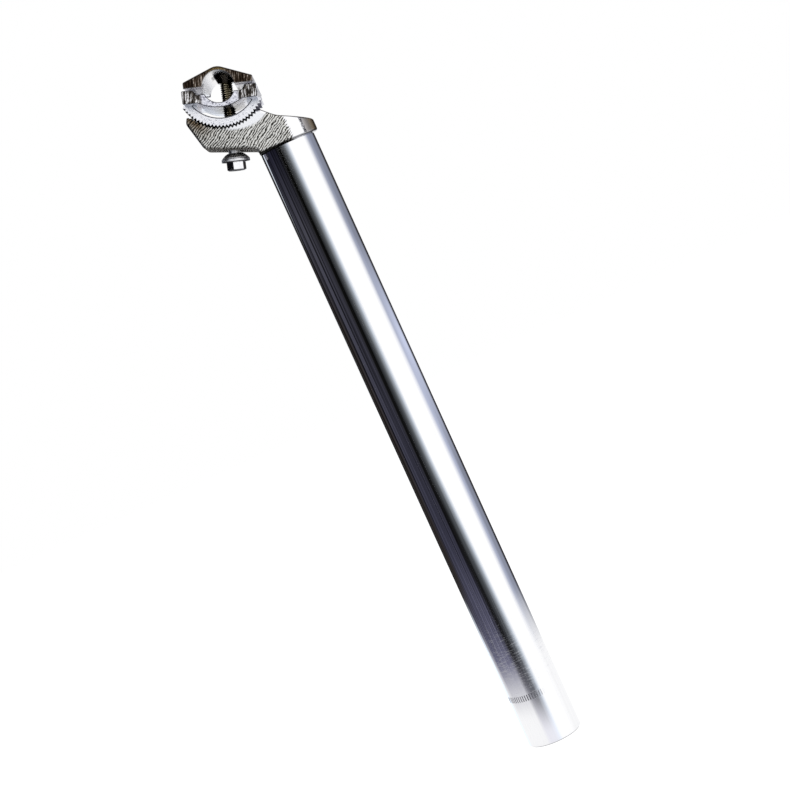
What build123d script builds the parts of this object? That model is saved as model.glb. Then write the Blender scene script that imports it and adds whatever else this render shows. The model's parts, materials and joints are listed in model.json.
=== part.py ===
from build123d import *
import os
from math import cos, radians, sin, sqrt, tan

os.makedirs("parts", exist_ok=True)

# A setback bicycle seatpost: a tube, a forged head pressed into it, and a serrated clamp for the
# saddle's two rails, held by one bolt from below. The tube's axis is Z with the foot at the origin,
# +X is the front of the bicycle, and the clamp tilts about a cross axis along Y. Millimetres.

# Tube
TUBE_DIA = 27.2
TUBE_WALL = 2.2
TUBE_FOOT_CHAMFER = 0.6
TUBE_TOP_CHAMFER = 0.6

# Tilt axis
POST_LENGTH = 350.0  # foot of the tube to the tilt axis, along the tube
TILT_RISE = 38.5  # tilt axis above the tube's top end
SETBACK = 16.4  # tilt axis behind the tube's axis
REST_TILT = 17.5  # the rails' slope from square to the tube, which is level on a bicycle
TILT_UP = 4.5  # tilt from rest that lifts the saddle's nose, one tooth
TILT_DOWN = 9.0  # tilt from rest that drops the saddle's nose, two teeth

# Teeth of the cradle and of the clamp's belly
TEETH_PER_TURN = 80
TOOTH_DEPTH = 1.1
CRADLE_RADIUS = 21.75  # crests of the cradle's teeth
TOOTH_GAP = 0.2  # crest to crest with the bolt slack
CRADLE_FRONT_TEETH = 9
CRADLE_REAR_TEETH = 10
BELLY_TEETH = 13  # on each side of the middle one

# Head
HEAD_WIDTH = 28.0
NOSE_REACH = 15.9  # front of the collar from the tube's axis
NOSE_SLOPE = 26.9  # fall of the swept top to the nose
SHOULDER_REACH = 0.5  # bend of the swept top, ahead of the tube's axis
SHOULDER_RISE = 13.4
SHOULDER_ROUND = 16.0
HORN_LAND = 2.8  # degrees from the last tooth to the tip of the cradle's end
HORN_TIP = 0.35  # reach of that tip past the tooth roots
HORN_ROUND = 0.4
LEDGE_RISE = 2.6  # height of the collar's back, flush with the tube's wall
LEDGE_ROUND = 2.0
UNDERSIDE_SLOPE = 23.9
UNDERSIDE_LENGTH = 24.4
HEEL_ROUND = 2.4
BACK_LEAN = 12.4  # back's lean from the tube's axis above the heel
BACK_LENGTH = 14.1
BACK_ROUND = 3.0
HEAD_EDGE_ROUND = 1.2
SPIGOT_LENGTH = 34.0
SPIGOT_CLEARANCE = 0.03
SPIGOT_CHAMFER = 1.2

# Clamp for the saddle's rails
RAIL_DIA = 7.0
RAIL_SPACING = 44.0
RAIL_DROP = 5.2  # rails' centre line below the tilt axis
CLAMP_WIDTH = 54.0
CLAMP_GAP = 0.9  # between the two halves on a rail
SPLIT_DROP = 4.1  # middle of the gap below the tilt axis
HOLLOW_DIA = 14.6  # round cross hollow, half in each clamp
JAW_REACH = 17.1
JAW_END_DROP = 10.6
BAND_THICKNESS = 2.1  # floor of the hollow
BAND_REACH = 10.3  # where the floor's bulge runs out under the jaws
RELIEF_REACH = 11.9  # end of the relief beside the hollow
RELIEF_DEPTH = 2.3
RELIEF_SLOPE = 1.6
BELLY_WIDTH = 27.0
WINDOW_RADIUS = 17.25  # inner side of the belly's ring
WINDOW_REACH = 11.6  # ends of the window between the ring and the floor
JAW_ROUND = 0.6
END_CHAMFER = 0.3  # along the sawn ends of both halves

# Upper clamp
ROOF_REACH = 15.95
ROOF_END_DROP = 0.85  # top of its ends below the tilt axis
RIDGE_RISE = 5.4  # where the two slopes would meet above the tilt axis
RIDGE_ROUND = 7.0
ROOF_END_ROUND = 0.8
BOSS_FOOT_DIA = 7.6
BOSS_FOOT_DROP = 0.5
BOSS_TAPER = 26.0

# Bolt and washers
BOLT_DIA = 6.0
BOLT_OFFSET = 2.3  # bolt's axis ahead of the tilt axis, along the rails
BOLT_HOLE_DIA = 6.8
BOLT_TIP_RISE = 5.4  # bolt's end above the tilt axis
BOLT_TIP_CHAMFER = 0.7
HEX_WIDTH = 8.0
HEX_HEIGHT = 4.2
HEX_TURN = 16.0  # from a corner facing forward
HEX_BEVEL_ANGLE = 30.0
HEX_BEVEL_REACH = 0.9
HEX_DISH_DIA = 4.6
HEX_DISH_DEPTH = 0.4
THREAD_CLEARANCE = 0.05
SEAT_DROP = 33.4  # top of the domed washer below the tilt axis
DOME_RADIUS = 8.0
DOME_TOP_DIA = 7.4
DOME_BASE_DIA = 12.6
DOME_RIM = 0.4
WASHER_DIA = 13.4
WASHER_THICKNESS = 1.3
WASHER_HOLE_DIA = 6.4
SLOT_CLEARANCE = 0.4
SLOT_FRONT_SPARE = 2.0  # swing past the tilt's limits
SLOT_REAR_SPARE = 0.5
SLOT_TOP_DROP = 15.0  # above the cradle's floor
SLOT_MOUTH_CHAMFER = 1.2

# Places that follow from the sizes
TUBE_RADIUS = TUBE_DIA / 2
TUBE_BORE_RADIUS = TUBE_RADIUS - TUBE_WALL
JOINT_Z = POST_LENGTH - TILT_RISE
CRADLE_ROOT = CRADLE_RADIUS + TOOTH_DEPTH
BELLY_RADIUS = CRADLE_RADIUS - TOOTH_GAP
BELLY_ROOT = BELLY_RADIUS - TOOTH_DEPTH
TOOTH_PITCH = 360 / TEETH_PER_TURN
ROOF_BASE_DROP = SPLIT_DROP - CLAMP_GAP / 2
JAW_TOP_DROP = SPLIT_DROP + CLAMP_GAP / 2
RELIEF_DROP = JAW_TOP_DROP + RELIEF_DEPTH
HOLLOW_RADIUS = HOLLOW_DIA / 2
HOLLOW_FLOOR_DROP = SPLIT_DROP + HOLLOW_RADIUS
BAND_DROP = HOLLOW_FLOOR_DROP + BAND_THICKNESS
RELIEF_INNER_REACH = sqrt(HOLLOW_RADIUS**2 - (RELIEF_DROP - SPLIT_DROP) ** 2)
WINDOW_END_DROP = sqrt(WINDOW_RADIUS**2 - WINDOW_REACH**2)
REAR_HORN_ANGLE = CRADLE_REAR_TEETH * TOOTH_PITCH + HORN_LAND
FRONT_HORN_ANGLE = (CRADLE_FRONT_TEETH + 1) * TOOTH_PITCH + HORN_LAND
SLOT_REACH = BOLT_DIA / 2 + SLOT_CLEARANCE
HEX_CORNER_RADIUS = HEX_WIDTH / 2 / cos(radians(30))
HEX_BEVEL_RISE = HEX_BEVEL_REACH * tan(radians(HEX_BEVEL_ANGLE))
DOME_TOP_DEPTH = sqrt(DOME_RADIUS**2 - (DOME_TOP_DIA / 2) ** 2)  # dome's centre below its flat top
DOME_HEIGHT = DOME_TOP_DEPTH - sqrt(DOME_RADIUS**2 - (DOME_BASE_DIA / 2) ** 2)
HEX_TOP_DROP = SEAT_DROP + DOME_HEIGHT + DOME_RIM + WASHER_THICKNESS

# The clamp's own plane: x runs forward along the rails, y runs up along the bolt
CLAMP_PLANE = Plane(
    origin=(-SETBACK, 0, POST_LENGTH),
    x_dir=(cos(radians(REST_TILT)), 0, -sin(radians(REST_TILT))),
    z_dir=(0, -1, 0),
)


def bolt_plane(rise):
    """A plane square to the bolt, at a height above the tilt axis."""
    return Plane(
        origin=CLAMP_PLANE.from_local_coords((BOLT_OFFSET, rise, 0)),
        x_dir=CLAMP_PLANE.x_dir,
        z_dir=CLAMP_PLANE.y_dir,
    )


def rail_plane(side):
    """A plane square to a rail at the middle of the clamp, with y across the post."""
    return Plane(
        origin=CLAMP_PLANE.from_local_coords((0, -RAIL_DROP, side * RAIL_SPACING / 2)),
        x_dir=CLAMP_PLANE.y_dir,
        z_dir=CLAMP_PLANE.x_dir,
    )


def below_axis(angle, radius):
    """A point in the clamp's plane at an angle forward of straight down."""
    return (radius * sin(radians(angle)), -radius * cos(radians(angle)))


def in_side_view(angle, radius):
    """The same point in the side view of the whole post."""
    point = CLAMP_PLANE.from_local_coords((*below_axis(angle, radius), 0))
    return (point.X, point.Z)


def swung(reach, rise, angle):
    """A point beside the bolt's axis in the clamp's plane, with the bolt's foot swung forward."""
    along = BOLT_OFFSET + reach
    turn = radians(angle)
    return (along * cos(turn) - rise * sin(turn), along * sin(turn) + rise * cos(turn))


def tooth_points(crest, root, rear, front, phase):
    """Crests and roots of a run of teeth from the rear to the front, in pitches from the middle."""
    points = [below_axis((rear + phase - 0.5) * TOOTH_PITCH, root)]
    for tooth in range(rear, front + 1):
        points.append(below_axis((tooth + phase) * TOOTH_PITCH, crest))
        points.append(below_axis((tooth + phase + 0.5) * TOOTH_PITCH, root))
    return points


RAIL_PLANES = [rail_plane(-1), rail_plane(1)]

# Corners of the upper clamp's side outline, with their rounds
ROOF_OUTLINE = {
    (-ROOF_REACH, -ROOF_BASE_DROP): 0,
    (-ROOF_REACH, -ROOF_END_DROP): ROOF_END_ROUND,
    (0, RIDGE_RISE): RIDGE_ROUND,
    (ROOF_REACH, -ROOF_END_DROP): ROOF_END_ROUND,
    (ROOF_REACH, -ROOF_BASE_DROP): 0,
}


with BuildPart() as post_tube:
    with BuildSketch(Plane.XY):
        Circle(TUBE_RADIUS)
        Circle(TUBE_BORE_RADIUS, mode=Mode.SUBTRACT)
    extrude(amount=JOINT_Z)
    outer_rims = post_tube.edges().filter_by(GeomType.CIRCLE).group_by(SortBy.RADIUS)[-1]
    chamfer(outer_rims.sort_by(Axis.Z)[0], TUBE_FOOT_CHAMFER)
    outer_rims = post_tube.edges().filter_by(GeomType.CIRCLE).group_by(SortBy.RADIUS)[-1]
    chamfer(outer_rims.sort_by(Axis.Z)[-1], TUBE_TOP_CHAMFER)


with BuildPart() as head:
    slope = radians(UNDERSIDE_SLOPE)
    lean = radians(BACK_LEAN)
    ledge = (-TUBE_RADIUS, JOINT_Z + LEDGE_RISE)
    heel = (ledge[0] - UNDERSIDE_LENGTH * cos(slope), ledge[1] + UNDERSIDE_LENGTH * sin(slope))
    back = (heel[0] - BACK_LENGTH * sin(lean), heel[1] + BACK_LENGTH * cos(lean))
    front_reach = NOSE_REACH + HEAD_EDGE_ROUND  # a little past the round nose
    front_rise = SHOULDER_RISE - (front_reach - SHOULDER_REACH) * tan(radians(NOSE_SLOPE))
    outline = {
        (ledge[0], JOINT_Z): 0,
        ledge: LEDGE_ROUND,
        heel: HEEL_ROUND,
        back: BACK_ROUND,
        in_side_view(-REAR_HORN_ANGLE, CRADLE_ROOT + HORN_TIP): HORN_ROUND,
        in_side_view(FRONT_HORN_ANGLE, CRADLE_ROOT + HORN_TIP): HORN_ROUND,
        (SHOULDER_REACH, JOINT_Z + SHOULDER_RISE): SHOULDER_ROUND,
        (front_reach, JOINT_Z + front_rise): 0,
        (front_reach, JOINT_Z): 0,
    }
    with BuildSketch(Plane.XZ):
        with BuildLine():
            FilletPolyline(*outline.keys(), radius=list(outline.values()), close=True)
        make_face()
    extrude(amount=HEAD_WIDTH / 2, both=True)
    # Seen from above, flat sides run into a round nose
    with BuildSketch(Plane.XY.offset(JOINT_Z)):
        with Locations((NOSE_REACH - HEAD_WIDTH / 2, 0)):
            Circle(HEAD_WIDTH / 2)
            Rectangle(NOSE_REACH - back[0], HEAD_WIDTH, align=(Align.MAX, Align.CENTER))
    extrude(amount=TILT_RISE, mode=Mode.INTERSECT)
    fillet(head.faces().filter_by(Axis.Y).edges(), HEAD_EDGE_ROUND)
    # Serrated cradle
    with BuildSketch(CLAMP_PLANE):
        teeth = tooth_points(CRADLE_RADIUS, CRADLE_ROOT, -CRADLE_REAR_TEETH, CRADLE_FRONT_TEETH, 0.5)
        with BuildLine():
            Polyline(*teeth, (teeth[-1][0], 0), (teeth[0][0], 0), close=True)
        make_face()
    extrude(amount=HEAD_WIDTH, both=True, mode=Mode.SUBTRACT)
    # Slot that lets the bolt swing with the clamp, with a bevelled mouth for the domed washer
    with BuildSketch(CLAMP_PLANE):
        with BuildLine():
            Polyline(
                swung(-SLOT_REACH, -SLOT_TOP_DROP, -TILT_DOWN - SLOT_REAR_SPARE),
                swung(-SLOT_REACH, -SEAT_DROP * 2, -TILT_DOWN - SLOT_REAR_SPARE),
                swung(SLOT_REACH, -SEAT_DROP * 2, TILT_UP + SLOT_FRONT_SPARE),
                swung(SLOT_REACH, -SLOT_TOP_DROP, TILT_UP + SLOT_FRONT_SPARE),
                close=True,
            )
        make_face()
    extrude(amount=SLOT_REACH, both=True, mode=Mode.SUBTRACT)
    underside = head.faces().filter_by(lambda face: len(face.inner_wires()) > 0)[0]
    chamfer(underside.inner_wires()[0].edges(), SLOT_MOUTH_CHAMFER)
    # Spigot in the tube
    with BuildSketch(Plane.XY.offset(JOINT_Z)):
        Circle(TUBE_BORE_RADIUS - SPIGOT_CLEARANCE)
    extrude(amount=-SPIGOT_LENGTH)
    chamfer(head.edges().group_by(Axis.Z)[0], SPIGOT_CHAMFER)


with BuildPart() as lower_clamp:
    # Jaws in front of and behind the cross hollow, joined by its floor
    with BuildSketch(CLAMP_PLANE) as jaws:
        with BuildLine():
            for side in (-1, 1):
                Polyline(
                    (side * BAND_REACH, -JAW_END_DROP),
                    (side * JAW_REACH, -JAW_END_DROP),
                    (side * JAW_REACH, -JAW_TOP_DROP),
                    (side * RELIEF_REACH, -JAW_TOP_DROP),
                    (side * (RELIEF_REACH - RELIEF_SLOPE), -RELIEF_DROP),
                    (side * RELIEF_INNER_REACH, -RELIEF_DROP),
                )
            ThreePointArc(
                (-RELIEF_INNER_REACH, -RELIEF_DROP), (0, -HOLLOW_FLOOR_DROP), (RELIEF_INNER_REACH, -RELIEF_DROP)
            )
            ThreePointArc((-BAND_REACH, -JAW_END_DROP), (0, -BAND_DROP), (BAND_REACH, -JAW_END_DROP))
        make_face()
        fillet(jaws.vertices().group_by(Axis.X)[0] + jaws.vertices().group_by(Axis.X)[-1], JAW_ROUND)
    extrude(amount=CLAMP_WIDTH / 2, both=True)
    chamfer(lower_clamp.faces().filter_by(Axis.Y).edges(), END_CHAMFER)
    # Serrated belly, a ring with a window between it and the jaws
    with BuildSketch(CLAMP_PLANE):
        teeth = tooth_points(BELLY_RADIUS, BELLY_ROOT, -BELLY_TEETH, BELLY_TEETH, 0)
        with BuildLine():
            Polyline(*teeth, close=True)
        make_face()
        with BuildLine():
            Polyline(
                (-WINDOW_REACH, -WINDOW_END_DROP), (-WINDOW_REACH, 0), (WINDOW_REACH, 0), (WINDOW_REACH, -WINDOW_END_DROP)
            )
            ThreePointArc((-WINDOW_REACH, -WINDOW_END_DROP), (0, -WINDOW_RADIUS), (WINDOW_REACH, -WINDOW_END_DROP))
        make_face(mode=Mode.SUBTRACT)
    extrude(amount=BELLY_WIDTH / 2, both=True)
    with BuildSketch(bolt_plane(0)):
        Circle(BOLT_HOLE_DIA / 2)
    extrude(amount=-CRADLE_ROOT, mode=Mode.SUBTRACT)
    # Rail grooves, with straight walls up to the split
    with BuildSketch(*RAIL_PLANES):
        Circle(RAIL_DIA / 2)
        Rectangle(RAIL_DROP - SPLIT_DROP, RAIL_DIA, align=(Align.MIN, Align.CENTER))
    extrude(amount=JAW_REACH * 2, both=True, mode=Mode.SUBTRACT)


with BuildPart() as upper_clamp:
    # Tapered boss for the bolt's thread, trimmed to the roof above it
    with BuildSketch(bolt_plane(-BOSS_FOOT_DROP)):
        Circle(BOSS_FOOT_DIA / 2)
    extrude(amount=BOSS_FOOT_DROP + RIDGE_RISE, taper=-BOSS_TAPER)
    with BuildSketch(CLAMP_PLANE):
        with BuildLine():
            FilletPolyline(*ROOF_OUTLINE.keys(), radius=list(ROOF_OUTLINE.values()), close=True)
        make_face()
    extrude(amount=CLAMP_WIDTH / 2, both=True, mode=Mode.INTERSECT)
    # Roof with a cross arch over the hollow
    with BuildSketch(CLAMP_PLANE):
        with BuildLine():
            FilletPolyline(*ROOF_OUTLINE.keys(), radius=list(ROOF_OUTLINE.values()), close=True)
        make_face()
        with Locations((0, -SPLIT_DROP)):
            Circle(HOLLOW_RADIUS, mode=Mode.SUBTRACT)
    extrude(amount=CLAMP_WIDTH / 2, both=True)
    chamfer(upper_clamp.faces().filter_by(Axis.Y).edges(), END_CHAMFER)
    with BuildSketch(bolt_plane(-BOSS_FOOT_DROP)):
        Circle(BOLT_DIA / 2 + THREAD_CLEARANCE)
    extrude(amount=BOSS_FOOT_DROP + RIDGE_RISE, mode=Mode.SUBTRACT)
    with BuildSketch(*RAIL_PLANES):
        Circle(RAIL_DIA / 2)
    extrude(amount=ROOF_REACH * 2, both=True, mode=Mode.SUBTRACT)


with BuildPart() as clamp_bolt:
    # Hex head with bevelled corners and a shallow dish in its foot
    with BuildSketch(bolt_plane(-HEX_TOP_DROP)):
        Circle(HEX_CORNER_RADIUS)
    extrude(amount=-HEX_HEIGHT)
    foot = clamp_bolt.faces().sort_by(Axis.Z)[0]
    chamfer(foot.edges(), HEX_BEVEL_REACH, HEX_BEVEL_RISE, reference=foot)
    with BuildSketch(bolt_plane(-HEX_TOP_DROP)):
        RegularPolygon(HEX_WIDTH / 2, 6, major_radius=False, rotation=HEX_TURN)
    extrude(amount=-HEX_HEIGHT, mode=Mode.INTERSECT)
    with BuildSketch(bolt_plane(-HEX_TOP_DROP - HEX_HEIGHT)):
        Circle(HEX_DISH_DIA / 2)
    extrude(amount=HEX_DISH_DEPTH, mode=Mode.SUBTRACT)
    with BuildSketch(bolt_plane(-HEX_TOP_DROP)):
        Circle(BOLT_DIA / 2)
    extrude(amount=HEX_TOP_DROP + BOLT_TIP_RISE)
    chamfer(clamp_bolt.faces().sort_by(Axis.Z)[-1].edges(), BOLT_TIP_CHAMFER)


with BuildPart() as seat_washer:
    with BuildSketch(bolt_plane(-SEAT_DROP)):
        Circle(DOME_BASE_DIA / 2)
        Circle(WASHER_HOLE_DIA / 2, mode=Mode.SUBTRACT)
    extrude(amount=-DOME_HEIGHT - DOME_RIM)
    with Locations(bolt_plane(-SEAT_DROP - DOME_TOP_DEPTH).location):
        Sphere(DOME_RADIUS, mode=Mode.INTERSECT)


with BuildPart() as flat_washer:
    with BuildSketch(bolt_plane(-HEX_TOP_DROP)):
        Circle(WASHER_DIA / 2)
        Circle(WASHER_HOLE_DIA / 2, mode=Mode.SUBTRACT)
    extrude(amount=WASHER_THICKNESS)


PIECES = {
    "post_tube": post_tube,
    "head": head,
    "lower_clamp": lower_clamp,
    "upper_clamp": upper_clamp,
    "clamp_bolt": clamp_bolt,
    "seat_washer": seat_washer,
    "flat_washer": flat_washer,
}
for name, piece in PIECES.items():
    piece.part.label = name
    export_step(piece.part, f"parts/{name}.step")
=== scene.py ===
import json
from math import cos, pi, radians, sin

import bmesh
import bpy
from mathutils import Matrix, Vector


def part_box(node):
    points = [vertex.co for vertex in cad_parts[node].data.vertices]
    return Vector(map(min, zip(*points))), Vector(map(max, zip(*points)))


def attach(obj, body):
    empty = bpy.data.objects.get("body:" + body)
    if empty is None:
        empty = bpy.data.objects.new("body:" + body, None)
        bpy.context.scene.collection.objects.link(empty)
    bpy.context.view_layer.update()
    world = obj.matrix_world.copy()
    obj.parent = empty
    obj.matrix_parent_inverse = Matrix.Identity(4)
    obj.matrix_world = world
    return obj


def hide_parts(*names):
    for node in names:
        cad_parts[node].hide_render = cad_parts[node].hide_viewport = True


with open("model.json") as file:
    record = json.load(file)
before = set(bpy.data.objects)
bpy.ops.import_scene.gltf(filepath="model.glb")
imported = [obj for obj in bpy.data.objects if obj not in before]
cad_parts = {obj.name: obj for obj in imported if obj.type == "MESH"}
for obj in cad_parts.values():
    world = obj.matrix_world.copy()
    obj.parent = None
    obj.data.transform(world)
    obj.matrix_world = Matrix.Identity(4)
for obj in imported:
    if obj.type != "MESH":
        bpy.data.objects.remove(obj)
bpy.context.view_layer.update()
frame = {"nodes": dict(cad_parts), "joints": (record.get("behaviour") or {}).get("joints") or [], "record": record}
nodes = frame["nodes"]
rail_mount = next(m for m in frame["record"]["mounts"] if m["name"] == "rail_left")

# Camera: the photograph looks square at the side of the post, which leans to the left in the picture
CAMERA_AIM = Vector((-0.0027, 0, 0.1824))
CAMERA_DISTANCE = 0.85
CAMERA_YAW = 0.35
CAMERA_PITCH = -4.6
CAMERA_ROLL = 24.43
CAMERA_LENS = 81.27
SENSOR_WIDTH = 36.0
CLIP_START = 0.01
CLIP_END = 50.0

# Studio
WORLD_LIGHT = 0.55  # strength of the white background as a light
FLOOR_Z = -0.30
FLOOR_SIZE = 12.0
FLOOR_COLOUR = (0.9, 0.9, 0.9, 1)
FLOOR_MIRRORED = (0.62, 0.62, 0.63, 1)
FLOOR_GLOW = 0.6
TENT_RADIUS = 0.80
TENT_BOTTOM = -0.28
TENT_TOP = 0.95
TENT_SIDES = 96
SHADED_TOP = 0.40  # the tent's gradients end at this height
KEY_PLACE = Vector((0.9, -0.9, 1.1))
KEY_AIM = Vector((0, 0, 0.2))
KEY_WIDTH = 0.9
KEY_LENGTH = 1.2
KEY_POWER = 14.0

# Place of the tilt axis, and directions of the clamp at rest
TILT_AXIS = Vector(frame["joints"][0]["pos_m"])
RAIL_DIR = Vector(rail_mount["axis"]).normalized()
BOLT_DIR = Vector((-RAIL_DIR.z, 0, RAIL_DIR.x))

# Tube
TUBE_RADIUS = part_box("post_tube")[1].x
TICK_HEIGHT = 0.0255
TICK_LENGTH = 0.003
TICK_COUNT = 70
TICK_WIDTH = 0.4  # in tick pitches

# Head
COLLAR_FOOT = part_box("post_tube")[1].z
CRADLE_ROOT = 0.02285
GRAIN_TURN = 31.0
GRAIN_PITCH = 0.00105
NOSE_START = 0.0030  # the smooth skin begins here
NOSE_BORDER = 0.0100  # the brown front, with its painted dark reflection, begins here
NOSE_TIP = 0.0159

# Clamp
CLAMP_END = 0.0255  # what lies further out is a sawn end
JAW_START = 0.0078
WINDOW_RADIUS = 0.01725
WINDOW_TOP = -0.0112
BELLY_SIDE = 0.0135
BELLY_ROOT = CRADLE_ROOT - 0.0026
RIDGE_RISE = 0.0054
RIDGE_ROUND = 0.00134
ROOF_SLOPE = 0.392
BOSS_REACH = 0.0060
STREAK_LEAN = 0.12

# Bolt and washers. Starts, ends, tops and feet are heights along the bolt, from the tilt axis
BOLT_OFFSET = 0.0023
THREAD_RADIUS = 0.003
THREAD_DEPTH = 0.0005
THREAD_PITCH = 0.001
THREAD_START = -0.020
THREAD_END = 0.0054
THREAD_SIDES = 40
THREAD_ROWS = 8
FLANK_SLOPE = 2.5  # groove depths per pitch
GROOVE_PEAK = 1.125  # depth at the groove's middle before its floor is cut flat at 1
TIP_CHAMFER = 0.0007
SHARP_ANGLE = 28
WASHER_TOP = -0.03596
WASHER_BOTTOM = -0.03726
HEX_FOOT = -0.04146
SATIN_FOOT = -0.0380
SATIN_TOP = -0.0310

# Colours
WHITE = (1, 1, 1, 1)
BLACK = (0, 0, 0, 1)
# painted shade in the gaps between teeth
CREVICE_SHADE = (0.02, 0.018, 0.016, 1)


class Graph:
    """A node tree with short calls for the nodes that this scene uses."""

    def __init__(self, owner):
        owner.use_nodes = True
        self.tree = owner.node_tree
        self.tree.nodes.clear()

    def add(self, kind, *inputs, **settings):
        """A node of that kind, with its inputs set or linked in order."""
        node = self.tree.nodes.new(kind)
        for name, value in settings.items():
            setattr(node, name, value)
        for socket, value in zip(node.inputs, inputs):
            self.put(socket, value)
        return node

    def put(self, socket, value):
        """Set a socket to a value, or link another socket to it."""
        if isinstance(value, bpy.types.NodeSocket):
            self.tree.links.new(value, socket)
        else:
            socket.default_value = value

    def math(self, operation, *inputs):
        """One operation on values."""
        return self.add("ShaderNodeMath", *inputs, operation=operation).outputs[0]

    def absolute(self, value):
        """A value without its sign."""
        return self.math("ABSOLUTE", value)

    def hypotenuse(self, a, b):
        """The square root of the sum of two squares."""
        squares = self.math("ADD", self.math("POWER", a, 2.0), self.math("POWER", b, 2.0))
        return self.math("POWER", squares, 0.5)

    def span(self, value, low, high, to_low=0.0, to_high=1.0):
        """A value's range mapped to another one, held at its ends."""
        return self.add("ShaderNodeMapRange", value, low, high, to_low, to_high).outputs[0]

    def fall(self, value, low, high):
        """A mask that is 1 up to the low end and 0 from the high end."""
        return self.span(value, low, high, 1.0, 0.0)

    def near(self, value, level, reach):
        """A mask round one level of a value."""
        return self.fall(self.absolute(self.math("SUBTRACT", value, level)), reach * 0.7, reach * 1.3)

    def both(self, *masks):
        """Masks multiplied."""
        product = masks[0]
        for mask in masks[1:]:
            product = self.math("MULTIPLY", product, mask)
        return product

    def most(self, *masks):
        """The largest of some masks."""
        largest = masks[0]
        for mask in masks[1:]:
            largest = self.math("MAXIMUM", largest, mask)
        return largest

    def ramp(self, fac, *stops):
        """A colour ramp. Each stop is a position and a grey level or a colour."""
        node = self.add("ShaderNodeValToRGB", fac)
        elements = node.color_ramp.elements
        while len(elements) < len(stops):
            elements.new(1.0)
        for element, (position, colour) in zip(elements, stops):
            element.position = position
            element.color = (*colour, 1) if isinstance(colour, tuple) else (colour, colour, colour, 1)
        return node.outputs["Color"]

    def mix(self, fac, a, b, blend="MIX"):
        """Two colours mixed."""
        node = self.add("ShaderNodeMix", data_type="RGBA", blend_type=blend)
        self.put(node.inputs["Factor"], fac)
        self.put(node.inputs[6], a)
        self.put(node.inputs[7], b)
        return node.outputs[2]

    def noise(self, vector, scale, detail, roughness):
        """A noise texture's grey level."""
        node = self.add("ShaderNodeTexNoise", vector)
        node.inputs["Scale"].default_value = scale
        node.inputs["Detail"].default_value = detail
        node.inputs["Roughness"].default_value = roughness
        return node.outputs["Fac"]

    def vector(self, x, y, z):
        """A vector from three values."""
        return self.add("ShaderNodeCombineXYZ", x, y, z).outputs[0]

    def scaled(self, x, x_size, y, y_size, z, z_size):
        """A vector for a texture whose cells have those three sizes in metres."""
        pairs = ((x, x_size), (y, y_size), (z, z_size))
        return self.vector(*(self.math("DIVIDE", value, size) for value, size in pairs))

    def coords(self):
        """Places on the object in metres, as a vector and as X, Y and Z."""
        place = self.add("ShaderNodeTexCoord").outputs["Object"]
        split = self.add("ShaderNodeSeparateXYZ", place).outputs
        return place, split[0], split[1], split[2]

    def facing(self):
        """The surface's direction on the object, as X, Y and Z."""
        normal = self.add("ShaderNodeTexCoord").outputs["Normal"]
        return self.add("ShaderNodeSeparateXYZ", normal).outputs

    def along(self, place, direction):
        """How far a place lies from the tilt axis along a direction."""
        offset = self.add("ShaderNodeVectorMath", place, TILT_AXIS, operation="SUBTRACT").outputs[0]
        return self.add("ShaderNodeVectorMath", offset, direction, operation="DOT_PRODUCT").outputs["Value"]

    def saw_streaks(self, forward, upward, y):
        """Streaks of a saw on the clamp's ends, a little off upright."""
        lean = self.math("SUBTRACT", forward, self.math("MULTIPLY", upward, STREAK_LEAN))
        return self.noise(self.scaled(lean, 0.00062, y, 0.01, upward, 0.004), 1.0, 2.0, 0.6)

    def bump(self, height, depth, strength):
        """A surface direction from a height."""
        node = self.add("ShaderNodeBump")
        node.inputs["Strength"].default_value = strength
        node.inputs["Distance"].default_value = depth
        self.put(node.inputs["Height"], height)
        return node.outputs["Normal"]

    def metal(self, colour, roughness, normal):
        """The metal surface and the material's output."""
        shader = self.add("ShaderNodeBsdfPrincipled")
        shader.inputs["Metallic"].default_value = 1.0
        self.put(shader.inputs["Base Color"], colour)
        self.put(shader.inputs["Roughness"], roughness)
        self.put(shader.inputs["Normal"], normal)
        self.add("ShaderNodeOutputMaterial", shader.outputs[0])


def new_material(name):
    """An empty material and its graph."""
    material = bpy.data.materials.new(name)
    return material, Graph(material)


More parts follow.
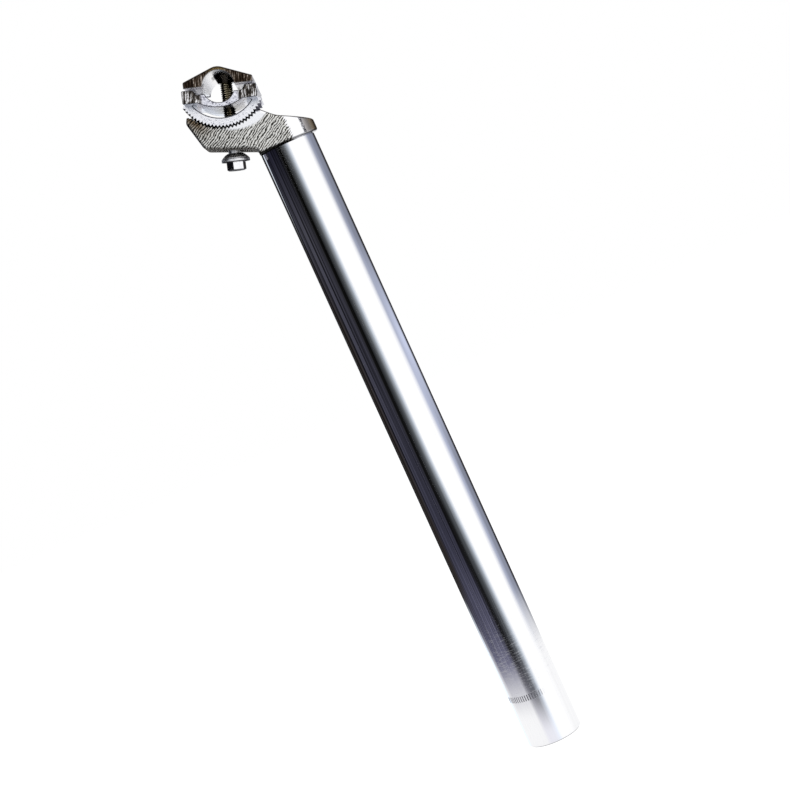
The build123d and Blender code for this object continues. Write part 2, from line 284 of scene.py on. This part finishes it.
def polished_tube():
    """Polished silver tube with drawing streaks, turning lines and limit ticks round the back of its foot."""
    material, g = new_material("polished_tube")
    _, x, y, z = g.coords()
    angle = g.math("ARCTAN2", y, x)
    around = g.math("MULTIPLY", angle, TUBE_RADIUS)
    streaks = g.noise(g.scaled(around, 0.0011, 0.0, 1.0, z, 0.12), 1.0, 3.0, 0.6)
    rings = g.noise(g.scaled(around, 0.006, 0.0, 1.0, z, 0.0005), 1.0, 2.0, 0.6)
    scratches = g.noise(g.scaled(around, 0.00055, 0.0, 1.0, z, 0.09), 1.0, 2.0, 0.5)
    near_foot = g.both(g.span(z, 0.020, 0.034), g.fall(z, 0.050, 0.080))
    # Ticks
    turn = g.math("FRACT", g.math("MULTIPLY", angle, TICK_COUNT / (2 * pi)))
    cut = g.math("LESS_THAN", g.absolute(g.math("SUBTRACT", turn, 0.5)), TICK_WIDTH / 2)
    band = g.math("LESS_THAN", g.absolute(g.math("SUBTRACT", z, TICK_HEIGHT)), TICK_LENGTH / 2)
    ticks = g.both(cut, band, g.fall(x, 0.001, 0.004))
    colour = g.ramp(streaks, (0.3, (0.90, 0.90, 0.92)), (0.7, (0.97, 0.97, 0.98)))
    colour = g.mix(ticks, colour, (0.30, 0.30, 0.33, 1))
    # Turning lines near the foot and scratches above them
    feathers = g.both(g.span(rings, 0.48, 0.7, 0.0, 0.16), near_foot)
    worn = g.both(
        g.span(scratches, 0.60, 0.72, 0.0, 0.14),
        g.span(z, 0.030, 0.060),
        g.fall(z, 0.24, 0.28),
    )
    roughness = g.math("ADD", g.span(streaks, 0.3, 0.7, 0.04, 0.07), g.math("MULTIPLY", ticks, 0.3))
    roughness = g.math("ADD", roughness, g.math("ADD", feathers, worn))
    relief = g.math("SUBTRACT", streaks, g.math("MULTIPLY", ticks, 4.0))
    g.metal(colour, roughness, g.bump(relief, 0.00002, 0.2))
    return material


def blasted_head():
    """Forged head: slanting blasted grain on its flat sides, a bright rim by the teeth and a smooth nose."""
    material, g = new_material("blasted_head")
    place, x, y, z = g.coords()
    facing = g.facing()
    sideways = g.absolute(facing[1])
    turn = radians(GRAIN_TURN)
    rise = g.along(place, Vector((-sin(turn), 0, cos(turn))))
    run = g.along(place, Vector((cos(turn), 0, sin(turn))))
    forward = g.along(place, RAIL_DIR)
    upward = g.along(place, BOLT_DIR)
    reach = g.hypotenuse(forward, upward)
    # Grain: swaying stripes with breaks in them
    patches = g.noise(place, 160.0, 2.0, 0.5)
    sway = g.noise(g.scaled(run, 0.0040, y, 0.0030, rise, 0.0024), 1.0, 1.0, 0.5)
    breaks = g.noise(g.scaled(run, 0.0010, y, 0.0012, rise, 0.00045), 1.0, 0.5, 0.5)
    phase = g.math("ADD", g.math("DIVIDE", rise, GRAIN_PITCH), g.math("MULTIPLY", sway, 2.0))
    stripes = g.math("SINE", g.math("MULTIPLY", phase, 2 * pi))
    grain = g.math("ADD", g.math("MULTIPLY", stripes, 0.24), g.span(breaks, 0.2, 0.8, 0.25, 0.75))
    grain = g.math("ADD", grain, g.span(patches, 0.3, 0.7, -0.012, 0.012))
    grain = g.math("ADD", grain, g.span(forward, 0.004, 0.020, 0.0, 0.035))
    # Where the grain stops
    rim_width = g.span(forward, 0.000, 0.016, 0.0, 0.0032)
    past_rim = g.math("SUBTRACT", g.math("SUBTRACT", reach, CRADLE_ROOT), rim_width)
    rim = g.both(g.fall(past_rim, -0.0003, 0.0006), g.span(forward, -0.002, 0.003))
    uneven = g.math("ADD", x, g.span(grain, 0.3, 0.7, -0.0006, 0.0006))
    nose = g.span(uneven, NOSE_START, NOSE_START + 0.0012)
    top = g.both(g.fall(sideways, 0.3, 0.6), g.span(facing[2], 0.2, 0.4))
    smooth = g.most(rim, nose, top)
    speck = g.ramp(grain, (0.34, 0.0), (0.70, 1.0))
    shade = g.ramp(speck, (0.0, (0.028, 0.027, 0.021)), (1.0, (0.82, 0.81, 0.775)))
    shade = g.mix(smooth, shade, (0.97, 0.97, 0.99, 1))
    speck = g.mix(smooth, speck, WHITE)
    # Darker brown under the rear teeth, and on the front of the nose a brown tone with a painted dark reflection
    # that darkens towards its tip
    rear = g.both(g.fall(reach, 0.0235, 0.0290), g.fall(forward, -0.012, -0.004))
    fine = g.noise(place, 1500.0, 2.0, 0.6)
    ragged = g.math("ADD", x, g.span(fine, 0.3, 0.7, -0.0003, 0.0003))
    under = g.fall(facing[2], -0.7, -0.3)
    upright = g.math("SUBTRACT", 1.0, g.most(top, under))
    front = g.both(g.span(ragged, NOSE_BORDER - 0.0002, NOSE_BORDER + 0.0004), upright)
    brown_with_painted_reflection = g.ramp(
        g.span(x, NOSE_BORDER + 0.0002, NOSE_TIP),
        (0.0, (0.44, 0.44, 0.46)),
        (0.45, (0.53, 0.46, 0.35)),
        (0.65, (0.70, 0.54, 0.32)),
        (0.85, (0.30, 0.19, 0.06)),
        (1.0, (0.10, 0.06, 0.02)),
    )
    border = g.both(g.near(ragged, NOSE_BORDER, 0.0006), g.fall(fine, 0.46, 0.60), upright)
    shade = g.mix(rear, shade, (0.26, 0.20, 0.14, 1), "MULTIPLY")
    shade = g.mix(front, shade, brown_with_painted_reflection, "MULTIPLY")
    shade = g.mix(border, shade, (0.05, 0.05, 0.06, 1), "MULTIPLY")
    # Painted shade: a dark line along the rounded edges, darker and duller faces that look down, and a painted
    # shadow where the head meets the tube
    narrower = g.math("SUBTRACT", sideways, g.span(facing[2], -0.1, 0.1, 0.0, 0.25))
    slanted_edge_shade = g.both(
        g.fall(narrower, 0.35, 0.60),
        g.span(sideways, 0.02, 0.15),
        g.span(g.absolute(facing[2]), 0.15, 0.35),
    )
    underside_shade = g.both(under, g.fall(x, 0.001, 0.005))
    joint_shadow = g.both(
        g.fall(z, COLLAR_FOOT + 0.0005, COLLAR_FOOT + 0.0009),
        g.span(x, -0.002, 0.006, 1.0, 0.4),
    )
    shade = g.mix(slanted_edge_shade, shade, (0.12, 0.11, 0.10, 1), "MULTIPLY")
    shade = g.mix(underside_shade, shade, (0.62, 0.60, 0.58, 1), "MULTIPLY")
    shade = g.mix(joint_shadow, shade, (0.10, 0.10, 0.10, 1), "MULTIPLY")
    # Painted shade between the teeth
    teeth = g.both(g.fall(reach, CRADLE_ROOT, CRADLE_ROOT + 0.0003), g.fall(sideways, 0.5, 0.8))
    shade = g.mix(g.both(teeth, g.span(forward, 0.008, 0.017, 1.0, 0.3)), shade, CREVICE_SHADE)
    dull = g.most(slanted_edge_shade, underside_shade, teeth)
    roughness = g.most(g.span(speck, 0.0, 1.0, 0.45, 0.26), g.math("MULTIPLY", dull, 0.85))
    g.metal(shade, roughness, g.bump(speck, 0.00012, 0.5))
    return material


def lower_clamp_alloy():
    """Satin lower clamp: sawn jaws with upright streaks, a speckled band under the hollow, a bright belly."""
    material, g = new_material("lower_clamp_alloy")
    place, _, y, _ = g.coords()
    sideways = g.absolute(g.facing()[1])
    from_middle = g.absolute(y)
    forward = g.along(place, RAIL_DIR)
    upward = g.along(place, BOLT_DIR)
    side = g.span(sideways, 0.85, 0.97)
    end = g.span(from_middle, CLAMP_END, CLAMP_END + 0.0007)
    streaks = g.saw_streaks(forward, upward, y)
    fine = g.noise(place, 1500.0, 2.0, 0.6)
    jaw = g.both(side, end, g.span(g.absolute(forward), JAW_START, JAW_START + 0.0012))
    sawn = g.ramp(
        g.math("ADD", streaks, g.span(fine, 0.3, 0.7, -0.05, 0.05)),
        (0.44, (0.018, 0.015, 0.013)),
        (0.53, (0.14, 0.125, 0.11)),
        (0.64, (0.85, 0.84, 0.86)),
    )
    flecks = g.ramp(fine, (0.29, (0.08, 0.08, 0.12)), (0.39, (0.93, 0.93, 0.98)), (0.7, (0.98, 0.98, 1.0)))
    specks = g.ramp(fine, (0.34, (0.12, 0.12, 0.15)), (0.46, (0.74, 0.74, 0.82)), (0.7, (0.93, 0.93, 0.98)))
    stains = g.noise(place, 260.0, 2.0, 0.5)
    plain = g.ramp(fine, (0.3, (0.72, 0.72, 0.79)), (0.7, (0.90, 0.90, 0.95)))
    plain = g.mix(g.span(stains, 0.55, 0.68), plain, (0.62, 0.56, 0.45, 1), "MULTIPLY")
    # Painted shade and painted reflection inside the window, darkest round the bolt
    inside = g.both(
        g.fall(upward, WINDOW_TOP, WINDOW_TOP + 0.0004),
        g.fall(from_middle, BELLY_SIDE - 0.0001, BELLY_SIDE + 0.0004),
    )
    from_bolt = g.absolute(g.math("SUBTRACT", forward, BOLT_OFFSET))
    ragged_from_bolt = g.math("ADD", from_bolt, g.span(stains, 0.3, 0.7, -0.003, 0.003))
    window_shade = g.mix(g.fall(ragged_from_bolt, 0.0035, 0.0085), (0.60, 0.60, 0.66, 1), (0.16, 0.14, 0.09, 1))
    plain = g.mix(inside, plain, window_shade, "MULTIPLY")
    colour = g.mix(side, plain, flecks)
    colour = g.mix(g.both(side, end), colour, specks)
    colour = g.mix(jaw, colour, sawn)
    # Painted shade between the teeth, higher up at the rear
    reach = g.hypotenuse(forward, upward)
    teeth_shade_top = g.span(forward, -0.014, -0.010, -0.0080, -0.0117)
    teeth = g.both(
        g.span(reach, BELLY_ROOT, BELLY_ROOT + 0.0004),
        g.math("LESS_THAN", upward, teeth_shade_top),
        g.math("LESS_THAN", from_middle, BELLY_SIDE + 0.0005),
        g.fall(sideways, 0.5, 0.8),
    )
    colour = g.mix(g.both(teeth, g.span(forward, 0.008, 0.017, 1.0, 0.3)), colour, CREVICE_SHADE)
    # Painted shade: dark lines round the window, and a painted dark reflection along the bevels
    window_lip_shade = g.both(
        side,
        g.near(reach, WINDOW_RADIUS + 0.00022, 0.00022),
        g.math("LESS_THAN", from_middle, BELLY_SIDE + 0.001),
    )
    colour = g.mix(window_lip_shade, colour, (0.06, 0.06, 0.07, 1))
    painted_dark_bevels = g.both(g.span(sideways, 0.50, 0.60), g.fall(sideways, 0.80, 0.90))
    colour = g.mix(painted_dark_bevels, colour, (0.10, 0.10, 0.11, 1), "MULTIPLY")
    dull = g.math("MULTIPLY", g.most(teeth, painted_dark_bevels), 0.8)
    roughness = g.most(g.span(side, 0.0, 1.0, 0.20, 0.26), dull)
    g.metal(colour, roughness, g.bump(g.mix(jaw, fine, streaks), 0.00012, 0.4))
    return material


def upper_clamp_alloy():
    """Upper clamp: dark sawn ends with upright streaks, a tan ridge and a bright arch."""
    material, g = new_material("upper_clamp_alloy")
    place, _, y, _ = g.coords()
    facing = g.facing()
    from_middle = g.absolute(y)
    forward = g.along(place, RAIL_DIR)
    upward = g.along(place, BOLT_DIR)
    end = g.both(
        g.span(g.absolute(facing[1]), 0.5, 0.8),
        g.span(from_middle, CLAMP_END, CLAMP_END + 0.0007),
    )
    streaks = g.saw_streaks(forward, upward, y)
    fine = g.noise(place, 1300.0, 3.0, 0.6)
    sawn = g.ramp(
        g.math("ADD", streaks, g.span(fine, 0.3, 0.7, -0.05, 0.05)),
        (0.42, (0.010, 0.006, 0.004)),
        (0.56, (0.075, 0.052, 0.036)),
        (0.72, (0.48, 0.42, 0.37)),
    )
    ridge = g.both(g.span(upward, 0.0022, 0.0036), g.fall(g.absolute(forward), 0.003, 0.006))
    tan = g.ramp(fine, (0.35, (0.035, 0.020, 0.008)), (0.65, (0.26, 0.19, 0.08)))
    sawn = g.mix(ridge, sawn, tan)
    plain = g.ramp(fine, (0.3, (0.84, 0.83, 0.84)), (0.7, (0.95, 0.94, 0.95)))
    # Painted shade: faces that look up, on the roof, darkened
    roof = g.span(facing[2], 0.3, 0.6)
    plain = g.mix(roof, plain, (0.62, 0.58, 0.54, 1), "MULTIPLY")
    # Painted shade: the boss round the bolt, deep in the hollow, darkened
    boss_shade = g.both(
        g.fall(from_middle, BOSS_REACH, BOSS_REACH + 0.0012),
        g.fall(g.absolute(g.math("SUBTRACT", forward, BOLT_OFFSET)), BOSS_REACH, BOSS_REACH + 0.0006),
        g.fall(upward, 0.0042, 0.0046),
        g.math("SUBTRACT", 1.0, roof),
    )
    plain = g.mix(boss_shade, plain, (0.035, 0.030, 0.024, 1))
    colour = g.mix(end, plain, sawn)
    # Painted shade: a dark line under the roof's edge
    from_ridge = g.math("SQRT", g.math("ADD", g.math("POWER", forward, 2.0), RIDGE_ROUND ** 2))
    roof_line = g.math("SUBTRACT", RIDGE_RISE, g.math("MULTIPLY", from_ridge, ROOF_SLOPE))
    edge = g.both(end, g.fall(g.math("SUBTRACT", roof_line, upward), 0.0004, 0.0008))
    colour = g.mix(edge, colour, (0.012, 0.008, 0.006, 1))
    roughness = g.span(end, 0.0, 1.0, 0.20, 0.42)
    g.metal(colour, roughness, g.bump(g.mix(end, fine, streaks), 0.00012, 0.4))
    return material


def plated_steel():
    """Bright plated steel of the bolt, satin on the washers, yellowish on the thread, dark in the joints."""
    material, g = new_material("plated_steel")
    place, _, y, _ = g.coords()
    upward = g.along(place, BOLT_DIR)
    wear = g.noise(place, 700.0, 4.0, 0.6)
    colour = g.ramp(wear, (0.3, (0.82, 0.82, 0.84)), (0.7, (0.96, 0.96, 0.98)))
    colour = g.mix(g.span(upward, -0.031, -0.027), colour, (0.78, 0.72, 0.54, 1), "MULTIPLY")
    # Darker in the thread's grooves
    radius = g.hypotenuse(g.math("SUBTRACT", g.along(place, RAIL_DIR), BOLT_OFFSET), y)
    groove = g.both(
        g.fall(radius, THREAD_RADIUS - THREAD_DEPTH, THREAD_RADIUS),
        g.span(upward, THREAD_START, THREAD_START + 0.001),
    )
    colour = g.mix(groove, colour, (0.05, 0.04, 0.025, 1))
    # Dark joints, and a painted dark reflection on the bevel round the hex's foot
    joints = g.most(g.near(upward, WASHER_TOP, 0.00016), g.near(upward, WASHER_BOTTOM, 0.00016))
    painted_dark_hex_bevel = g.fall(upward, HEX_FOOT + 0.00045, HEX_FOOT + 0.00060)
    dark = g.most(joints, g.math("MULTIPLY", painted_dark_hex_bevel, 0.8))
    colour = g.mix(dark, colour, (0.03, 0.03, 0.035, 1))
    satin = g.both(
        g.span(upward, SATIN_FOOT, SATIN_FOOT + 0.0006),
        g.fall(upward, SATIN_TOP - 0.0010, SATIN_TOP),
    )
    roughness = g.math("ADD", g.span(wear, 0.3, 0.7, 0.08, 0.18), g.math("MULTIPLY", satin, 0.25))
    roughness = g.most(roughness, g.math("MULTIPLY", dark, 0.7))
    g.metal(colour, roughness, g.bump(wear, 0.00003, 0.3))
    return material


def threaded_bolt(material):
    """The bolt with its thread: the CAD hex and shank below, a right-hand helical thread above."""
    b = bmesh.new()
    b.from_mesh(nodes["clamp_bolt"].data)
    foot = TILT_AXIS + RAIL_DIR * BOLT_OFFSET + BOLT_DIR * THREAD_START
    whole = [*b.verts, *b.edges, *b.faces]
    bmesh.ops.bisect_plane(b, geom=whole, plane_co=foot, plane_no=BOLT_DIR, clear_outer=True)
    across = RAIL_DIR.cross(BOLT_DIR)
    length = THREAD_END - THREAD_START
    steps = round(length / THREAD_PITCH * THREAD_ROWS)
    rows = []
    for j in range(steps + 1):
        rise = length * j / steps
        top = THREAD_RADIUS - max(0.0, TIP_CHAMFER - (length - rise))
        depth = THREAD_DEPTH * min(1.0, rise / THREAD_PITCH)
        row = []
        for i in range(THREAD_SIDES):
            turn = 2 * pi * i / THREAD_SIDES
            phase = (rise / THREAD_PITCH + i / THREAD_SIDES) % 1.0
            groove = min(1.0, max(0.0, GROOVE_PEAK - FLANK_SLOPE * abs(phase - 0.5)))
            radius = min(top, THREAD_RADIUS - depth * groove)
            side = RAIL_DIR * (radius * cos(turn)) + across * (radius * sin(turn))
            row.append(b.verts.new(foot + BOLT_DIR * rise + side))
        rows.append(row)
    for low, high in zip(rows, rows[1:]):
        for i in range(THREAD_SIDES):
            k = (i + 1) % THREAD_SIDES
            b.faces.new((low[i], high[i], high[k], low[k]))
    b.faces.new(rows[-1][::-1])
    bmesh.ops.recalc_face_normals(b, faces=b.faces)
    mesh = bpy.data.meshes.new("threaded_bolt")
    b.to_mesh(mesh)
    b.free()
    mesh.shade_smooth()
    mesh.set_sharp_from_angle(angle=radians(SHARP_ANGLE))
    mesh.materials.clear()
    mesh.materials.append(material)
    bolt = bpy.data.objects.new("threaded_bolt", mesh)
    bpy.context.scene.collection.objects.link(bolt)
    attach(bolt, "clamp")
    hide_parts("clamp_bolt")


def stage_piece(name, verts, faces, material):
    """A mesh of the studio, with its material."""
    mesh = bpy.data.meshes.new(name)
    mesh.from_pydata(verts, [], faces)
    mesh.materials.append(material)
    piece = bpy.data.objects.new(name, mesh)
    bpy.context.scene.collection.objects.link(piece)
    return piece


def make_background():
    """White background, dimmer as a light than it looks."""
    world = bpy.data.worlds.new("white_studio")
    bpy.context.scene.world = world
    g = Graph(world)
    path = g.add("ShaderNodeLightPath").outputs
    seen = g.most(path["Is Camera Ray"], path["Is Glossy Ray"], path["Is Transmission Ray"])
    level = g.span(seen, 0.0, 1.0, WORLD_LIGHT, 1.0)
    background = g.add("ShaderNodeBackground", WHITE, level)
    g.add("ShaderNodeOutputWorld", background.outputs[0])


def make_floor():
    """Pale floor that shows white."""
    material, g = new_material("pale_floor")
    path = g.add("ShaderNodeLightPath").outputs
    _, x, y, _ = g.coords()
    # Painted shadow: the floor that the metal mirrors glows less near the post
    mirrored_with_painted_shadow = g.both(path["Is Glossy Ray"], g.span(g.hypotenuse(x, y), 0.5, 2.0, 0.1, 1.0))
    seen = g.most(path["Is Camera Ray"], mirrored_with_painted_shadow, path["Is Transmission Ray"])
    # The metal mirrors a duller floor, so that its edges stay visible on the white one
    colour = g.mix(path["Is Glossy Ray"], FLOOR_COLOUR, FLOOR_MIRRORED)
    matt = g.add("ShaderNodeBsdfDiffuse", colour)
    glow = g.add("ShaderNodeEmission", WHITE, g.math("MULTIPLY", seen, FLOOR_GLOW))
    together = g.add("ShaderNodeAddShader", matt.outputs[0], glow.outputs[0])
    g.add("ShaderNodeOutputMaterial", together.outputs[0])
    half = FLOOR_SIZE / 2
    corners = [(-half, -half, FLOOR_Z), (half, -half, FLOOR_Z), (half, half, FLOOR_Z), (-half, half, FLOOR_Z)]
    floor = stage_piece("floor", corners, [(0, 1, 2, 3)], material)


def at(degrees):
    """Ramp position of a bearing from the camera, positive to the right."""
    return 0.5 + degrees / 360


def lavender(level):
    """Colour of the tent's right walls at a brightness."""
    return (0.87 * level, 0.94 * level, 1.19 * level)


def tent_cloth(g, bearing, cut, height, z):
    """Dark cloth on the tent's left, pale at its foot."""
    left = g.ramp(
        height,
        (0.11, (1.0, 1.0, 1.0)),
        (0.19, (0.18, 0.18, 0.27)),
        (0.36, (0.07, 0.07, 0.11)),
        (0.84, (0.07, 0.07, 0.09)),
        (0.98, (0.006, 0.006, 0.02)),
    )
    middle = g.ramp(
        height,
        (0.085, (0.90, 0.90, 0.96)),
        (0.15, (0.14, 0.14, 0.17)),
        (0.20, (0.016, 0.016, 0.018)),
        (0.75, (0.010, 0.010, 0.010)),
    )
    hem = g.ramp(
        height,
        (0.085, (0.90, 0.90, 0.96)),
        (0.14, (0.06, 0.06, 0.07)),
        (0.30, (0.020, 0.022, 0.024)),
        (1.0, (0.025, 0.025, 0.020)),
    )
    cloth = g.mix(g.ramp(cut, (at(-58), 0.0), (at(-44), 1.0)), left, middle)
    cloth = g.mix(g.ramp(cut, (at(-40), 0.0), (at(-24), 1.0)), cloth, hem)
    outside = g.both(
        g.ramp(bearing, (at(-118), 1.0), (at(-98), 0.0)),
        g.span(z, -0.12, -0.06),
        g.fall(z, 0.20, 0.28),
    )
    cloth = g.mix(outside, cloth, (0.040, 0.034, 0.033, 1))
    folds = g.noise(g.scaled(bearing, 0.020, 0.0, 1.0, z, 0.6), 1.0, 3.0, 0.65)
    creases = g.both(g.ramp(folds, (0.38, 1.0), (0.62, 0.0)), g.span(z, -0.17, -0.12, 0.0, 0.9))
    cloth = g.mix(creases, cloth, BLACK)
    fade = g.both(g.ramp(bearing, (at(-146), 1.0), (at(-112), 0.0)), g.fall(z, -0.16, -0.11))
    return g.mix(fade, cloth, WHITE)


def tent_walls(g, bearing, cut, height, z):
    """White walls by the camera and at the back, lavender ones on the right, dark strips beside the back."""
    inner = g.ramp(
        height,
        (0.19, 1.0),
        (0.28, lavender(0.48)),
        (0.60, lavender(0.60)),
        (0.83, lavender(0.39)),
    )
    outer = g.ramp(
        height,
        (0.19, 1.0),
        (0.28, lavender(0.33)),
        (0.46, lavender(0.27)),
        (0.65, lavender(0.72)),
        (0.80, lavender(0.28)),
    )
    right = g.mix(g.ramp(bearing, (at(97), 0.0), (at(112), 1.0)), inner, outer)
    white = g.mix(g.ramp(cut, (at(-2), 1.0), (at(8), 0.0)), (1.1, 1.1, 1.1, 1), (0.97, 1.06, 1.18, 1))
    walls = g.mix(g.ramp(bearing, (at(72), 0.0), (at(80), 0.25), (at(95), 1.0)), white, right)
    strips = g.ramp(
        bearing,
        (at(-170), 0.0), (at(-164), 1.0), (at(-138), 1.0), (at(-132), 0.0),
        (at(130), 0.0), (at(146), 1.0), (at(164), 1.0), (at(170), 0.0),
    )
    walls = g.mix(g.both(strips, g.span(z, -0.14, -0.08)), walls, (0.025, 0.022, 0.020, 1))
    behind = g.ramp(bearing, (at(-176), 1.0), (at(-168), 0.0), (at(168), 0.0), (at(176), 1.0))
    return g.mix(behind, walls, WHITE)


def make_tent():
    """The light tent that the polished metal mirrors: a dark cloth on the left, bright walls on the right."""
    material, g = new_material("light_tent")
    _, x, y, z = g.coords()
    angle = g.math("ARCTAN2", x, g.math("MULTIPLY", y, -1.0))
    bearing = g.math("ADD", g.math("DIVIDE", angle, 2 * pi), 0.5)
    height = g.span(z, TENT_BOTTOM, SHADED_TOP)
    # The cloth's right edge stands further right near the floor and is cut away at the top
    leaned = g.math("ADD", bearing, g.span(z, -0.14, 0.05, -16 / 360, 0.0))
    cut = g.math("ADD", leaned, g.span(z, 0.375, 0.405, 0.0, 45 / 360))
    cloth = tent_cloth(g, bearing, cut, height, z)
    walls = tent_walls(g, bearing, cut, height, z)
    # A slit of light shows past the cloth's left edge, at the top only
    slit = g.span(z, 0.27, 0.36, -142 / 360, -131 / 360)
    from_slit = g.math("SUBTRACT", g.math("SUBTRACT", bearing, 0.5), slit)
    soft_edge = g.ramp(cut, (at(-34), 1.0), (at(-17), 0.92), (at(-6), 0.63), (at(6), 0.09), (at(10), 0.0))
    cover = g.both(g.span(from_slit, 0.0, 6 / 360), soft_edge)
    base = g.span(height, 0.0, 0.07, 0.62, 1.0)
    colour = g.mix(1.0, g.mix(cover, walls, cloth), g.vector(base, base, base), "MULTIPLY")
    glow = g.add("ShaderNodeEmission", colour, 1.0)
    g.add("ShaderNodeOutputMaterial", glow.outputs[0])
    verts = []
    faces = []
    for i in range(TENT_SIDES):
        turn = 2 * pi * i / TENT_SIDES
        for level in (TENT_BOTTOM, TENT_TOP):
            verts.append((TENT_RADIUS * cos(turn), TENT_RADIUS * sin(turn), level))
        a, b = 2 * i, 2 * ((i + 1) % TENT_SIDES)
        faces.append((a, b, b + 1, a + 1))
    tent = stage_piece("light_tent", verts, faces, material)
    tent.visible_camera = False
    tent.visible_diffuse = False
    tent.visible_shadow = False
    tent.visible_transmission = False


def make_lamp():
    """Soft key light from the right, which the metal doesn't mirror."""
    lamp = bpy.data.lights.new("key_softbox", "AREA")
    lamp.shape = "RECTANGLE"
    lamp.size = KEY_WIDTH
    lamp.size_y = KEY_LENGTH
    lamp.energy = KEY_POWER
    key = bpy.data.objects.new("key_softbox", lamp)
    key.location = KEY_PLACE
    key.rotation_euler = (KEY_AIM - KEY_PLACE).to_track_quat("-Z", "Y").to_euler()
    key.visible_glossy = False
    bpy.context.scene.collection.objects.link(key)


def make_camera():
    """Camera at the photograph's place."""
    data = bpy.data.cameras.new("camera")
    data.lens = CAMERA_LENS
    data.sensor_width = SENSOR_WIDTH
    data.clip_start = CLIP_START
    data.clip_end = CLIP_END
    camera = bpy.data.objects.new("camera", data)
    turn = Matrix.Rotation(radians(CAMERA_YAW), 3, "Z") @ Matrix.Rotation(radians(CAMERA_PITCH), 3, "X")
    turn = turn @ Matrix.Rotation(radians(CAMERA_ROLL), 3, "Y")
    forward = turn @ Vector((0, 1, 0))
    camera.matrix_world = (turn @ Matrix.Rotation(radians(90), 3, "X")).to_4x4()
    camera.location = CAMERA_AIM - forward * CAMERA_DISTANCE
    bpy.context.scene.collection.objects.link(camera)
    bpy.context.scene.camera = camera


def dress(name, material):
    """Give a CAD node its material."""
    mesh = nodes[name].data
    mesh.materials.clear()
    mesh.materials.append(material)


bpy.context.scene.view_settings.view_transform = "Standard"
make_background()
make_floor()
make_tent()
make_lamp()
make_camera()

steel = plated_steel()
dress("post_tube", polished_tube())
dress("head", blasted_head())
dress("lower_clamp", lower_clamp_alloy())
dress("upper_clamp", upper_clamp_alloy())
dress("seat_washer", steel)
dress("flat_washer", steel)
threaded_bolt(steel)
